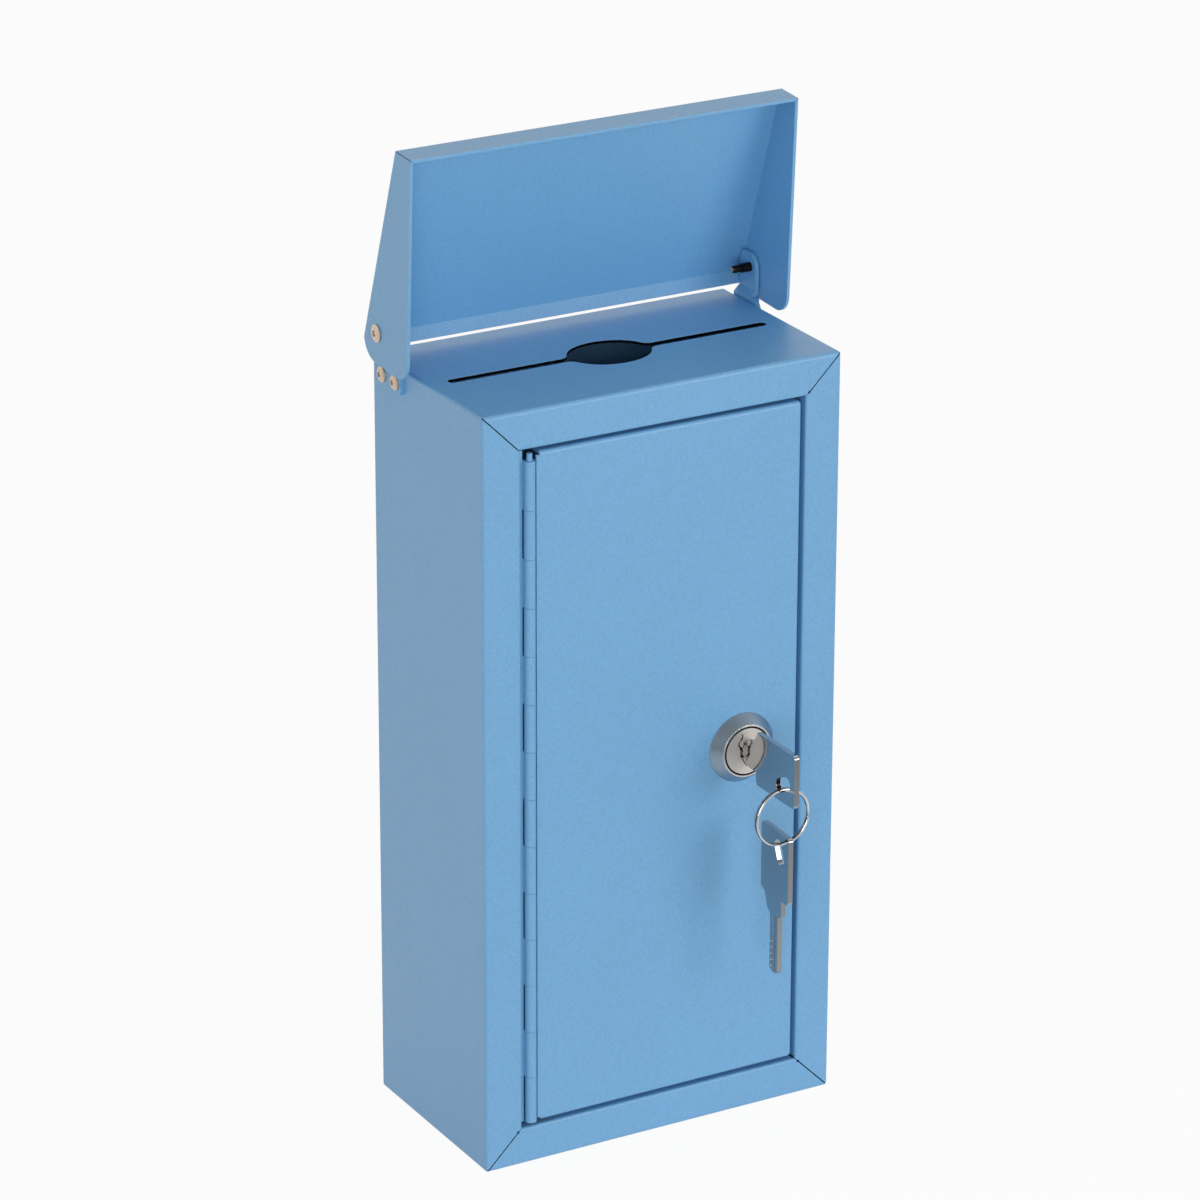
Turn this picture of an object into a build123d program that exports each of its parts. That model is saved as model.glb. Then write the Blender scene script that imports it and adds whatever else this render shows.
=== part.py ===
from build123d import *

import os
from math import cos, hypot, radians, sin, sqrt, tan

# Key drop box: a sheet-steel wall box with a drop opening under a hinged hood, and a
# piano-hinged, cam-locked door. Millimetres, +Z up, front towards -Y, origin at the
# centre of the bottom face. The hood is stored open and the lock unlocked, key in.

# ---------------------------------------------------------------- driving dimensions
WIDTH = 152.4
DEPTH = 84.5
HEIGHT = 304.8
SHEET = 1.2
BEND_R = 1.5
FRONT_Y = -DEPTH / 2
MID_Z = HEIGHT / 2

# front frame round the door
FLANGE = 15.2
OPENING_W = WIDTH - 2 * FLANGE
OPENING_H = HEIGHT - 2 * FLANGE
LIP_DEPTH = 14.0
LIP_END_GAP = 0.5
EDGE_R = 1.1
SEAM = 0.25
OPEN_SEAM = 0.4
SEAM_END = 1.7
SEAM_START = 0.5
RELIEF_R = 0.6
RELIEF_INSET = 13.9

# drop opening in the top
DROP_Y = -1.0
OVAL_W = 33.4
OVAL_D = 26.6
SLOT_LENGTH = 136.0
SLOT_WIDTH = 4.2
SLOT_BLEND_R = 4.0

# back pan and its wall-screw holes
PAN_DEPTH = 6.0
PAN_CORNER_R = 1.5
WALL_HOLES_X = 100.0
WALL_HOLES_Z = 220.0
WALL_HOLE_R = 2.6

# piano hinge
HINGE_X = -56.85
HINGE_Y = FRONT_Y
HINGE_BOTTOM = 17.6
HINGE_TOP = 285.4
KNUCKLES = 14
PIN_TOP = 288.2
KNUCKLE_GAP = 0.12
BARREL_R = 2.2
PIN_R = 1.1
RUNNING_GAP = 0.05
LEAF = 1.0
FRAME_LEAF_SETBACK = 2.3
DOOR_LEAF_SETBACK = 3.7
FRAME_LEAF_X = -70.0
FRAME_LEAF_TOP = 289.2
DOOR_LEAF_X = -46.0
LEAF_CLEARANCE = 0.3

# door
DOOR_LEFT = -53.9
DOOR_RIGHT = 59.2
DOOR_BOTTOM = 16.8
DOOR_TOP = 288.1
DOOR_RETURN = 10.0
DOOR_CORNER_R = 1.6
DOOR_NOTCH = 1.4

# hood, drawn closed, and the axis it turns on
LID_SWING = 87.0
LID_AXIS_Y = 28.7
LID_AXIS_Z = 317.0
LID_HALF_W = 81.9
LID_FRONT_Y = -46.5
LID_REAR_Y = 40.6
LID_EDGE_Z = 292.8
LID_ROOF_Z = 305.4
LID_SLOPE = 15.85
LID_REAR_TOP_R = 9.2
LID_REAR_LOW_R = 7.5
LID_CORNER_CUT_Y = 31.0
LID_KNEE_Y = 33.4
LID_BACK_LIP = 5.7
LID_BACK_LIP_BEND = 47.0
LID_BACK_LIP_HALF_W = 80.2

# lid brackets
BRACKET_T = 1.6
LEG_FRONT_Y = 18.3
LEG_REAR_Y = 36.2
LEG_BOTTOM_Z = 294.8
EAR_FRONT_Y = 24.4
EAR_REAR_Y = 36.0
EAR_TOP_Z = 322.6
EAR_OFFSET = 2.5
JOGGLE_Z = 305.1
SHOULDER_Z = 306.3
EAR_FRONT_R = 6.0
EAR_REAR_R = 3.5
SHOULDER_R = 5.0
LEG_CORNER_R = 1.5

# rivets
RIVET_Y = (22.4, 32.7)
RIVET_Z = 299.1
RIVET_SHANK_R = 1.6
RIVET_HEAD_R = 3.05
RIVET_HEAD_H = 1.4
RIVET_TAIL_R = 2.2
RIVET_TAIL_L = 4.0
PIVOT_SHANK_R = 1.5
PIVOT_HEAD_R = 3.5
PIVOT_HEAD_H = 1.1
PIVOT_HEAD_GAP = 0.1
PIVOT_TAIL_R = 1.85
PIVOT_TAIL_L = 6.9
PIVOT_COLLAR_L = 3.9
PIVOT_WAIST_R = 1.1
PIVOT_WAIST_L = 0.5
PIVOT_TIP_R = 1.5

# cam lock; depths are measured back from the door's front face
LOCK_X = 34.7
LOCK_Z = MID_Z + 0.7
CONE_BASE_R = 14.0
CONE_FACE_R = 10.5
CONE_PROUD = 4.4
FACE_BORE_R = 9.75
PLUG_FACE_R = 9.2
PLUG_FACE_T = 2.8
PLUG_SEAT_GAP = 0.1
PLUG_R = 6.9
HOUSING_R = 9.3
HOUSING_DEPTH = 20.0
LOCK_HOLE_R = 9.4
NUT_FLATS = 22.0
NUT_T = 5.0
TAIL_SQUARE = 6.0
TAIL_END = 22.8
KEYWAY_GAP = 0.1
KEYWAY_DEPTH = 19.8
STOP_DEPTH = 1.4
STOP_GAP = 0.2
STOP_HALF_LUG = 13.0
STOP_WASHER_T = 1.0
STOP_WASHER_R = 8.6
STOP_LUG_IN_R = 7.3
STOP_LUG_OUT_R = 9.0
PLUG_TURN = 90.0
CAM_T = 1.8
CAM_HUB_R = 8.5
CAM_WIDTH = 12.0
CAM_REACH = 31.0
CAM_CRANK_IN = 10.5
CAM_CRANK_OUT = 15.5
CAM_LIP_GAP = 0.75
SPRING_WASHER_T = 0.8
SPRING_WASHER_R = 4.2
SCREW_R = 2.0
SCREW_END = 20.4
SCREW_HEAD_FLATS = 7.0
SCREW_HEAD_T = 3.0
WAFERS = 5
WAFER_FIRST = 3.0
WAFER_PITCH = 3.0
WAFER_T = 0.7
WAFER_W = 4.8
WAFER_H = 12.6
WAFER_WINDOW = (3.0, 7.4)
WAFER_SLOT_GAP = 0.05

# keys; u runs from the bow's outer end to the tip, v across
KEY_T = 2.0
KEY_LENGTH = 59.4
KEY_OFFSET_Z = 0.2
BOW_LENGTH = 27.5
BOW_HALF_W = 10.75
BOW_CORNER_R = 1.6
NECK_END = 34.0
BLADE_START = 35.6
BLADE_HALF_W = 3.1
STOP_V = 5.6
NECK_V = 7.4
KEY_SLOT_U = 8.1
KEY_SLOT_V = -3.45
KEY_SLOT_L = 10.6
KEY_SLOT_W = 5.6
KEY_SLOT_TILT = 24.0
GROOVE_W = 1.0
GROOVE_DEPTH = 0.4
GROOVE_V = -1.1
DIMPLES = 5
DIMPLE_PITCH = 2.6
DIMPLE_R = 0.75
DIMPLE_DEPTH = 0.35
DIMPLE_V = 1.6

# split ring
RING_R = 11.25
WIRE_R = 0.5
WIRE_PITCH = 0.94
RING_Y = -72.4
RING_GAP = 0.5
SPARE_HANG_V = -3.5
SPARE_RISE = 4.8
SPARE_YAW = 3.0

# ---------------------------------------------------------------- worked-out sizes
FRONT_PLANE = Plane.XZ.offset(-FRONT_Y)
BACK_PLANE = Plane.XZ.offset(FRONT_Y)
LEAF_Y = FRONT_Y + SHEET + LEAF / 2
PITCH = (HINGE_TOP - HINGE_BOTTOM) / KNUCKLES
LOCK_AXIS = Axis((LOCK_X, FRONT_Y, LOCK_Z), (0, 1, 0))
PLUG_FRONT_Y = FRONT_Y - CONE_PROUD
KEY_Z = LOCK_Z + KEY_OFFSET_Z
KEY_END_Y = PLUG_FRONT_Y - RUNNING_GAP - BLADE_START
SLOT_END_V = KEY_SLOT_V - (KEY_SLOT_L - KEY_SLOT_W) / 2 * sin(radians(KEY_SLOT_TILT))
RING_Z = KEY_Z + SLOT_END_V - KEY_SLOT_W / 2 + RING_GAP - (RING_R - WIRE_R)
SPARE_X = LOCK_X - SPARE_HANG_V * sin(radians(SPARE_YAW))
SPARE_Y = RING_Y - SPARE_HANG_V * cos(radians(SPARE_YAW))
SPARE_TOP_Z = RING_Z - RING_R + SPARE_RISE
SPARE_NORMAL = (cos(radians(SPARE_YAW)), -sin(radians(SPARE_YAW)), 0)
STOP_WASHER_Y = FRONT_Y + HOUSING_DEPTH + STOP_GAP
CAM_Y = STOP_WASHER_Y + STOP_WASHER_T
CAM_TIP_Y = FRONT_Y + LIP_DEPTH + CAM_LIP_GAP
SPRING_WASHER_Y = CAM_Y + CAM_T
SCREW_HEAD_Y = SPRING_WASHER_Y + SPRING_WASHER_T
BRACKET_X = WIDTH / 2 + BRACKET_T
EAR_X = BRACKET_X + EAR_OFFSET
PIVOT_GRIP = LID_HALF_W + PIVOT_HEAD_GAP - (EAR_X - BRACKET_T)

os.makedirs("parts", exist_ok=True)


def write(part, name):
    """Label a finished piece and write it as its own STEP file."""
    part.label = name
    export_step(part, f"parts/{name}.step")


def corner_nearest(sketch, point):
    """The corner of a sketch nearest a point given in the sketch's own plane."""
    return sketch.vertices().sort_by_distance(point)[0]


def behind(depth):
    """Sketch plane facing out of the door, centred on the lock, at a depth behind the door's front."""
    return Plane(origin=(LOCK_X, FRONT_Y + depth, LOCK_Z), x_dir=(1, 0, 0), z_dir=(0, -1, 0))


def lock_section():
    """Half-plane through the lock's axis: local x is the radius, local y the depth."""
    return Plane(origin=(LOCK_X, FRONT_Y, LOCK_Z), x_dir=(1, 0, 0), z_dir=(0, 0, 1))


# ---------------------------------------------------------------- body
# One wrap of sheet: box walls, front flanges with mitred seams, and return lips
# behind three edges of the door opening. The hinge leaf takes the fourth.
with BuildPart() as body_shell:
    with BuildSketch(BACK_PLANE):
        Rectangle(WIDTH, HEIGHT, align=(Align.CENTER, Align.MIN))
    extrude(amount=DEPTH)
    fillet(body_shell.edges().filter_by(Axis.Y), BEND_R)
    fillet(body_shell.faces().sort_by(Axis.Y)[0].edges(), BEND_R)
    with BuildSketch(BACK_PLANE):
        with Locations((0, MID_Z)):
            Rectangle(WIDTH - 2 * SHEET, HEIGHT - 2 * SHEET)
    extrude(amount=DEPTH - SHEET, mode=Mode.SUBTRACT)
    with BuildSketch(FRONT_PLANE):
        with Locations((0, MID_Z)):
            Rectangle(OPENING_W, OPENING_H)
    extrude(amount=-SHEET, mode=Mode.SUBTRACT)
    with BuildSketch(FRONT_PLANE):
        for side in (1, -1):
            with Locations((0, MID_Z + side * (OPENING_H + SHEET) / 2)):
                Rectangle(OPENING_W - 2 * LIP_END_GAP, SHEET)
        with Locations(((OPENING_W + SHEET) / 2, MID_Z)):
            Rectangle(SHEET, OPENING_H - 2 * LIP_END_GAP)
    extrude(amount=-LIP_DEPTH)
    front_edges = body_shell.edges().filter_by_position(Axis.Y, FRONT_Y - 0.01, FRONT_Y + 0.01)
    long_edges = front_edges.filter_by_position(Axis.X, -OPENING_W / 2 + 1, OPENING_W / 2 + 0.01)
    opening_edges = long_edges.filter_by_position(Axis.Z, FLANGE - 0.01, HEIGHT - FLANGE + 0.01)
    fillet(opening_edges, EDGE_R)
    with BuildSketch(FRONT_PLANE):
        seam_run = FLANGE - SEAM_END + SEAM_START
        for x_side in (1, -1):
            for z_side in (1, -1):
                top_left = x_side < 0 < z_side
                seam_x = x_side * (OPENING_W / 2 - SEAM_START + seam_run / 2)
                seam_z = MID_Z + z_side * (OPENING_H / 2 - SEAM_START + seam_run / 2)
                with Locations(Location((seam_x, seam_z, 0), (0, 0, 45 * x_side * z_side))):
                    Rectangle(seam_run * sqrt(2), OPEN_SEAM if top_left else SEAM)
                if not top_left:
                    with Locations((x_side * (WIDTH / 2 - RELIEF_INSET),
                                    MID_Z + z_side * (HEIGHT / 2 - RELIEF_INSET))):
                        Circle(RELIEF_R)
    extrude(amount=-SHEET, mode=Mode.SUBTRACT)
    with BuildSketch(Plane.XY.offset(HEIGHT)) as drop_opening:
        with Locations((0, DROP_Y)):
            Ellipse(OVAL_W / 2, OVAL_D / 2)
            SlotOverall(SLOT_LENGTH, SLOT_WIDTH)
        fillet(drop_opening.vertices().filter_by_position(Axis.X, -OVAL_W / 2, OVAL_W / 2), SLOT_BLEND_R)
    extrude(amount=-SHEET, mode=Mode.SUBTRACT)
    with BuildSketch(Plane.YZ):
        for rivet_y in RIVET_Y:
            with Locations((rivet_y, RIVET_Z)):
                Circle(RIVET_SHANK_R)
    extrude(amount=WIDTH, both=True, mode=Mode.SUBTRACT)
write(body_shell.part, "body_shell")

with BuildPart() as back_panel:
    with BuildSketch(BACK_PLANE):
        with Locations((0, MID_Z)):
            RectangleRounded(WIDTH - 2 * SHEET, HEIGHT - 2 * SHEET, PAN_CORNER_R)
    extrude(amount=PAN_DEPTH)
    with BuildSketch(BACK_PLANE.offset(SHEET)):
        with Locations((0, MID_Z)):
            Rectangle(WIDTH - 4 * SHEET, HEIGHT - 4 * SHEET)
    extrude(amount=PAN_DEPTH, mode=Mode.SUBTRACT)
    with BuildSketch(BACK_PLANE):
        with Locations((0, MID_Z)):
            with GridLocations(WALL_HOLES_X, WALL_HOLES_Z, 2, 2):
                Circle(WALL_HOLE_R)
    extrude(amount=SHEET, mode=Mode.SUBTRACT)
write(back_panel.part, "back_panel")


# ---------------------------------------------------------------- piano hinge
def hinge_leaf(outer_x, notch_x, plate_top, first, bore_r):
    """One leaf with every second knuckle, counted down from the top; the leaf is notched at the others."""
    with BuildPart() as leaf:
        with BuildSketch(Plane.XY.offset(HINGE_BOTTOM)):
            with Locations(((outer_x + notch_x) / 2, LEAF_Y)):
                Rectangle(abs(outer_x - notch_x), LEAF)
        extrude(amount=plate_top - HINGE_BOTTOM)
        for knuckle in range(first, KNUCKLES, 2):
            top = HINGE_TOP - knuckle * PITCH - KNUCKLE_GAP / 2
            with BuildSketch(Plane.XY.offset(top)):
                with Locations((HINGE_X, HINGE_Y)):
                    Circle(BARREL_R)
                with Locations(((notch_x + HINGE_X) / 2, LEAF_Y)):
                    Rectangle(abs(notch_x - HINGE_X), LEAF)
                with Locations((HINGE_X, HINGE_Y)):
                    Circle(bore_r, mode=Mode.SUBTRACT)
            extrude(amount=KNUCKLE_GAP - PITCH)
    return leaf.part


frame_notch_x = HINGE_X - FRAME_LEAF_SETBACK
door_notch_x = HINGE_X + DOOR_LEAF_SETBACK
write(hinge_leaf(FRAME_LEAF_X, frame_notch_x, FRAME_LEAF_TOP, 0, PIN_R), "frame_hinge_leaf")
write(hinge_leaf(DOOR_LEAF_X, door_notch_x, HINGE_TOP, 1, PIN_R + RUNNING_GAP), "door_hinge_leaf")

with BuildPart() as hinge_pin:
    with BuildSketch(Plane.XY.offset(HINGE_BOTTOM)):
        with Locations((HINGE_X, HINGE_Y)):
            Circle(PIN_R)
    extrude(amount=PIN_TOP - HINGE_BOTTOM)
write(hinge_pin.part, "hinge_pin")

# ---------------------------------------------------------------- door
# A tray with returns on three edges, flush with the frame; the hinge side is left flat.
with BuildPart() as door_panel:
    with BuildSketch(FRONT_PLANE):
        with Locations(((DOOR_LEFT + DOOR_RIGHT) / 2, (DOOR_BOTTOM + DOOR_TOP) / 2)):
            Rectangle(DOOR_RIGHT - DOOR_LEFT, DOOR_TOP - DOOR_BOTTOM)
    extrude(amount=-DOOR_RETURN)
    fillet(door_panel.edges().filter_by(Axis.Y).group_by(Axis.X)[-1], DOOR_CORNER_R)
    door_front = door_panel.faces().sort_by(Axis.Y)[0].edges()
    fillet(door_front.sort_by(Axis.X)[1:], BEND_R)
    with BuildSketch(FRONT_PLANE.offset(-SHEET)):
        with Locations((DOOR_RIGHT - SHEET, (DOOR_BOTTOM + DOOR_TOP) / 2)):
            Rectangle(DOOR_RIGHT - DOOR_LEFT, DOOR_TOP - DOOR_BOTTOM - 2 * SHEET,
                      align=(Align.MAX, Align.CENTER))
    extrude(amount=-DOOR_RETURN, mode=Mode.SUBTRACT)
    with BuildSketch(FRONT_PLANE.offset(-SHEET)):
        for corner_z in (DOOR_BOTTOM + 2, DOOR_TOP - 2):
            with Locations((DOOR_RIGHT, corner_z)):
                Rectangle(3 * SHEET, OPEN_SEAM)
        with Locations((DOOR_LEFT, DOOR_BOTTOM)):
            Rectangle(DOOR_LEAF_X + LEAF_CLEARANCE - DOOR_LEFT, 3 * SHEET, align=(Align.MIN, Align.CENTER))
    extrude(amount=-DOOR_RETURN, mode=Mode.SUBTRACT)
    with BuildSketch(FRONT_PLANE):
        for corner_z in (DOOR_BOTTOM, DOOR_TOP):
            with Locations((DOOR_LEFT, corner_z)):
                Rectangle(2 * DOOR_NOTCH, 2 * DOOR_NOTCH)
        with Locations((LOCK_X, LOCK_Z)):
            Circle(LOCK_HOLE_R)
    extrude(amount=-DOOR_RETURN, mode=Mode.SUBTRACT)
write(door_panel.part, "door_panel")


# ---------------------------------------------------------------- hood
def roof_z(y):
    """Height of the closed hood's outer roof surface."""
    return LID_ROOF_Z + (y - LID_FRONT_Y) * tan(radians(LID_SLOPE))


roof_drop = SHEET / cos(radians(LID_SLOPE))
rear_corner = (LID_REAR_Y, roof_z(LID_REAR_Y))
knee = Vector(LID_KNEE_Y, roof_z(LID_KNEE_Y))
lip_angle = radians(LID_SLOPE - LID_BACK_LIP_BEND)
lip_run = Vector(cos(lip_angle), sin(lip_angle)) * LID_BACK_LIP
lip_inward = Vector(sin(lip_angle), -cos(lip_angle)) * SHEET
knee_inward = Vector(0, -roof_drop)

with BuildPart() as hood_closed:
    with BuildSketch(Plane.YZ):
        with BuildLine():
            Polyline((LID_FRONT_Y, LID_EDGE_Z), (LID_FRONT_Y, LID_ROOF_Z), rear_corner,
                     (LID_REAR_Y, LID_EDGE_Z), close=True)
        make_face()
    extrude(amount=LID_HALF_W, both=True)
    roof = hood_closed.faces().filter_by(GeomType.PLANE).sort_by(Axis.Z)[-1]
    fillet(roof.edges().sort_by(Axis.Y)[:-1], BEND_R)
    # the space inside, open below and behind
    with BuildSketch(Plane.YZ):
        with BuildLine():
            inner_y = LID_FRONT_Y + SHEET
            Polyline((inner_y, 0), (inner_y, roof_z(inner_y) - roof_drop),
                     (WIDTH, roof_z(WIDTH) - roof_drop), (WIDTH, 0), close=True)
        make_face()
    extrude(amount=LID_HALF_W - SHEET, both=True, mode=Mode.SUBTRACT)
    # rounded rear corners of the side flanges
    with BuildSketch(Plane.YZ) as flange_outline:
        with BuildLine():
            Polyline((LID_FRONT_Y, LID_EDGE_Z), (LID_FRONT_Y, LID_ROOF_Z), rear_corner,
                     (LID_REAR_Y, LID_EDGE_Z), close=True)
        make_face()
        fillet(corner_nearest(flange_outline, rear_corner), LID_REAR_TOP_R)
        fillet(corner_nearest(flange_outline, (LID_REAR_Y, LID_EDGE_Z)), LID_REAR_LOW_R)
    extrude(amount=LID_HALF_W, both=True, mode=Mode.INTERSECT)
    # clear the roof behind the corner cuts, then run its middle on to the bent-down back lip
    with BuildSketch(Plane.YZ):
        with Locations((LID_CORNER_CUT_Y, LID_AXIS_Z)):
            Rectangle(DEPTH, DEPTH, align=(Align.MIN, Align.CENTER))
    extrude(amount=LID_HALF_W - SHEET, both=True, mode=Mode.SUBTRACT)
    with BuildSketch(Plane.YZ):
        with BuildLine():
            start = Vector(LID_CORNER_CUT_Y, roof_z(LID_CORNER_CUT_Y))
            Polyline(start, knee, knee + lip_run, knee + lip_run + lip_inward,
                     knee + knee_inward, start + knee_inward, close=True)
        make_face()
    extrude(amount=LID_BACK_LIP_HALF_W, both=True)
    # open seam between front lip and side flange
    with BuildSketch(Plane.XY.offset(LID_EDGE_Z)):
        for side in (1, -1):
            with Locations(Location((side * (LID_HALF_W - SHEET / 2), LID_FRONT_Y + SHEET / 2, 0),
                                    (0, 0, -45 * side))):
                Rectangle(4 * SHEET, SEAM)
    extrude(amount=LID_ROOF_Z - LID_EDGE_Z - BEND_R, mode=Mode.SUBTRACT)
    with BuildSketch(Plane.YZ):
        with Locations((LID_AXIS_Y, LID_AXIS_Z)):
            Circle(PIVOT_SHANK_R + RUNNING_GAP)
    extrude(amount=WIDTH, both=True, mode=Mode.SUBTRACT)
lid_axis = Axis((0, LID_AXIS_Y, LID_AXIS_Z), (1, 0, 0))
write(hood_closed.part.rotate(lid_axis, -LID_SWING), "lid_hood")

# ---------------------------------------------------------------- lid brackets
# Leg flat on the side wall, 45 degree joggle, and an ear inside the hood's flange.
with BuildPart() as right_lid_bracket:
    joggle_inner = JOGGLE_Z + BRACKET_T * (sqrt(2) - 1)
    with BuildSketch(Plane.XZ.offset(-LEG_REAR_Y)):
        with BuildLine():
            Polyline((BRACKET_X, LEG_BOTTOM_Z), (BRACKET_X, JOGGLE_Z), (EAR_X, JOGGLE_Z + EAR_OFFSET),
                     (EAR_X, EAR_TOP_Z), (EAR_X - BRACKET_T, EAR_TOP_Z),
                     (EAR_X - BRACKET_T, joggle_inner + EAR_OFFSET),
                     (BRACKET_X - BRACKET_T, joggle_inner), (BRACKET_X - BRACKET_T, LEG_BOTTOM_Z),
                     close=True)
        make_face()
    extrude(amount=LEG_REAR_Y - LEG_FRONT_Y)
    with BuildSketch(Plane.YZ) as bracket_outline:
        with BuildLine():
            Polyline((LEG_FRONT_Y, LEG_BOTTOM_Z), (LEG_REAR_Y, LEG_BOTTOM_Z), (LEG_REAR_Y, JOGGLE_Z),
                     (EAR_REAR_Y, SHOULDER_Z), (EAR_REAR_Y, EAR_TOP_Z), (EAR_FRONT_Y, EAR_TOP_Z),
                     (EAR_FRONT_Y, SHOULDER_Z), (LEG_FRONT_Y, SHOULDER_Z), close=True)
        make_face()
        fillet(corner_nearest(bracket_outline, (EAR_FRONT_Y, EAR_TOP_Z)), EAR_FRONT_R)
        fillet(corner_nearest(bracket_outline, (EAR_REAR_Y, EAR_TOP_Z)), EAR_REAR_R)
        fillet(corner_nearest(bracket_outline, (LEG_FRONT_Y, SHOULDER_Z)), SHOULDER_R)
        for leg_y in (LEG_FRONT_Y, LEG_REAR_Y):
            fillet(corner_nearest(bracket_outline, (leg_y, LEG_BOTTOM_Z)), LEG_CORNER_R)
        with Locations((LID_AXIS_Y, LID_AXIS_Z)):
            Circle(PIVOT_SHANK_R, mode=Mode.SUBTRACT)
        for rivet_y in RIVET_Y:
            with Locations((rivet_y, RIVET_Z)):
                Circle(RIVET_SHANK_R, mode=Mode.SUBTRACT)
    extrude(amount=WIDTH, mode=Mode.INTERSECT)
write(right_lid_bracket.part, "right_lid_bracket")

with BuildPart() as left_lid_bracket:
    add(right_lid_bracket.part)
    mirror(about=Plane.YZ, mode=Mode.REPLACE)
write(left_lid_bracket.part, "left_lid_bracket")

# ---------------------------------------------------------------- rivets
with BuildPart() as wall_rivet:
    with BuildSketch(Plane.XZ):
        with BuildLine():
            grip = SHEET + BRACKET_T
            Polyline((0, -grip - RIVET_TAIL_L), (RIVET_TAIL_R, -grip - RIVET_TAIL_L),
                     (RIVET_TAIL_R, -grip), (RIVET_SHANK_R, -grip), (RIVET_SHANK_R, 0),
                     (RIVET_HEAD_R, 0), (RIVET_HEAD_R, RIVET_HEAD_H / 3))
            RadiusArc((RIVET_HEAD_R, RIVET_HEAD_H / 3), (RIVET_HEAD_R / 3, RIVET_HEAD_H),
                      -RIVET_HEAD_R)
            Polyline((RIVET_HEAD_R / 3, RIVET_HEAD_H), (RIVET_HEAD_R / 3, RIVET_HEAD_H / 2),
                     (0, RIVET_HEAD_H / 2), (0, -grip - RIVET_TAIL_L))
        make_face()
    revolve(axis=Axis.Z)

with BuildPart() as bracket_rivets:
    for side in (1, -1):
        for rivet_y in RIVET_Y:
            with Locations(Plane(origin=(side * BRACKET_X, rivet_y, RIVET_Z), z_dir=(side, 0, 0))):
                add(wall_rivet.part)
write(bracket_rivets.part, "bracket_rivets")

with BuildPart() as pivot_rivet:
    with BuildSketch(Plane.XZ):
        with BuildLine():
            tip_z = -PIVOT_GRIP - PIVOT_TAIL_L
            collar_z = -PIVOT_GRIP - PIVOT_COLLAR_L
            waist_z = collar_z - PIVOT_WAIST_L
            Polyline((0, tip_z), (PIVOT_TIP_R, tip_z), (PIVOT_TIP_R, waist_z), (PIVOT_WAIST_R, waist_z),
                     (PIVOT_WAIST_R, collar_z), (PIVOT_TAIL_R, collar_z), (PIVOT_TAIL_R, -PIVOT_GRIP),
                     (PIVOT_SHANK_R, -PIVOT_GRIP), (PIVOT_SHANK_R, 0), (PIVOT_HEAD_R, 0),
                     (PIVOT_HEAD_R, PIVOT_HEAD_H / 3))
            RadiusArc((PIVOT_HEAD_R, PIVOT_HEAD_H / 3), (PIVOT_HEAD_R / 3, PIVOT_HEAD_H), -PIVOT_HEAD_R)
            Polyline((PIVOT_HEAD_R / 3, PIVOT_HEAD_H), (PIVOT_HEAD_R / 3, PIVOT_HEAD_H / 2),
                     (0, PIVOT_HEAD_H / 2), (0, tip_z))
        make_face()
    revolve(axis=Axis.Z)
    with Locations((0, 0, tip_z)):
        Sphere(PIVOT_TIP_R)

for side, name in ((1, "right_pivot_rivet"), (-1, "left_pivot_rivet")):
    seat = Plane(origin=(side * (LID_HALF_W + PIVOT_HEAD_GAP), LID_AXIS_Y, LID_AXIS_Z), z_dir=(side, 0, 0))
    with BuildPart() as placed_rivet:
        with Locations(seat):
            add(pivot_rivet.part)
    write(placed_rivet.part, name)

# ---------------------------------------------------------------- lock
with BuildPart() as lock_housing:
    seat_y = -CONE_PROUD + PLUG_FACE_T + PLUG_SEAT_GAP
    with BuildSketch(lock_section()):
        with BuildLine():
            Polyline((PLUG_R + RUNNING_GAP, HOUSING_DEPTH), (HOUSING_R, HOUSING_DEPTH), (HOUSING_R, 0),
                     (CONE_BASE_R, 0), (CONE_FACE_R, -CONE_PROUD), (FACE_BORE_R, -CONE_PROUD),
                     (FACE_BORE_R, seat_y), (PLUG_R + RUNNING_GAP, seat_y), close=True)
        make_face()
    revolve(axis=LOCK_AXIS)
    # quarter-turn stop: a recess in the rear end that the stop washer's lug travels in
    with BuildSketch(behind(HOUSING_DEPTH)):
        with BuildLine():
            half_play = STOP_HALF_LUG + 2
            recess = CenterArc((0, 0), 2 * HOUSING_R, 90 - PLUG_TURN - half_play, PLUG_TURN + 2 * half_play)
            Polyline(recess @ 1, (0, 0), recess @ 0)
        make_face()
    extrude(amount=STOP_DEPTH, mode=Mode.SUBTRACT)
write(lock_housing.part, "lock_housing")

with BuildPart() as lock_nut:
    with BuildSketch(behind(SHEET)):
        RegularPolygon(NUT_FLATS / 2, 6, major_radius=False)
        Circle(HOUSING_R, mode=Mode.SUBTRACT)
    extrude(amount=-NUT_T)
write(lock_nut.part, "lock_nut")

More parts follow.
